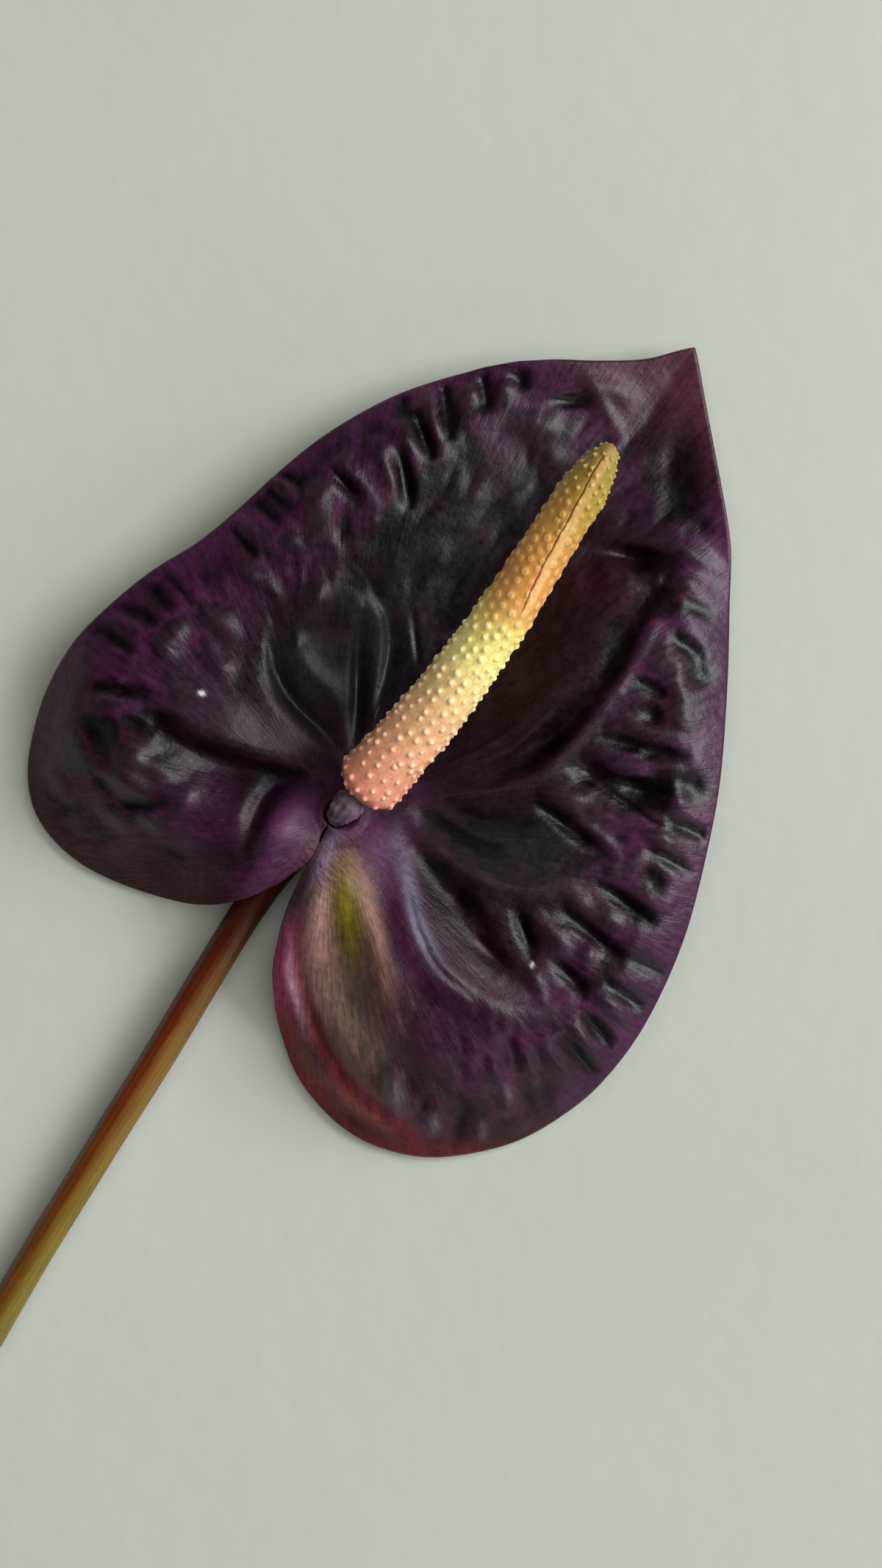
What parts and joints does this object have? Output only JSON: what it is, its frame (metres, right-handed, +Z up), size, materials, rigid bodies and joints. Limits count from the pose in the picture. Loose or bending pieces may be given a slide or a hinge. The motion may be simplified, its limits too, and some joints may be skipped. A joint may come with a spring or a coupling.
{
  "type": "anthurium flower",
  "caption": "Cut anthurium lying face up: a dark heart-shaped spathe with veined, puckered relief, a beaded spadix on a short stipe, and a bare curved stem.",
  "frame": {"origin": "on the surface that the flower lies on, under the middle of its bounding box", "axes": "+Y from the stem's cut end towards the spathe's tip, +Z up out of the spathe's face, +X to the right half of the spathe"},
  "size_m": [0.109, 0.271, 0.0425],
  "materials": {
    "spathe": "waxy and glossy, near-black maroon with purple, olive and pink-brown patches",
    "spadix": "fleshy beads with a soft gloss, salmon at the base through yellow and tan to olive at the tip",
    "stipe": "dull grey-purple",
    "peduncle": "smooth satin, maroon by the flower and on one side, olive on the other"
  },
  "bodies": {
    "root": {"spathe": "spathe", "spadix": "spadix", "stipe": "stipe", "peduncle": "peduncle"}
  },
  "joints": []
}
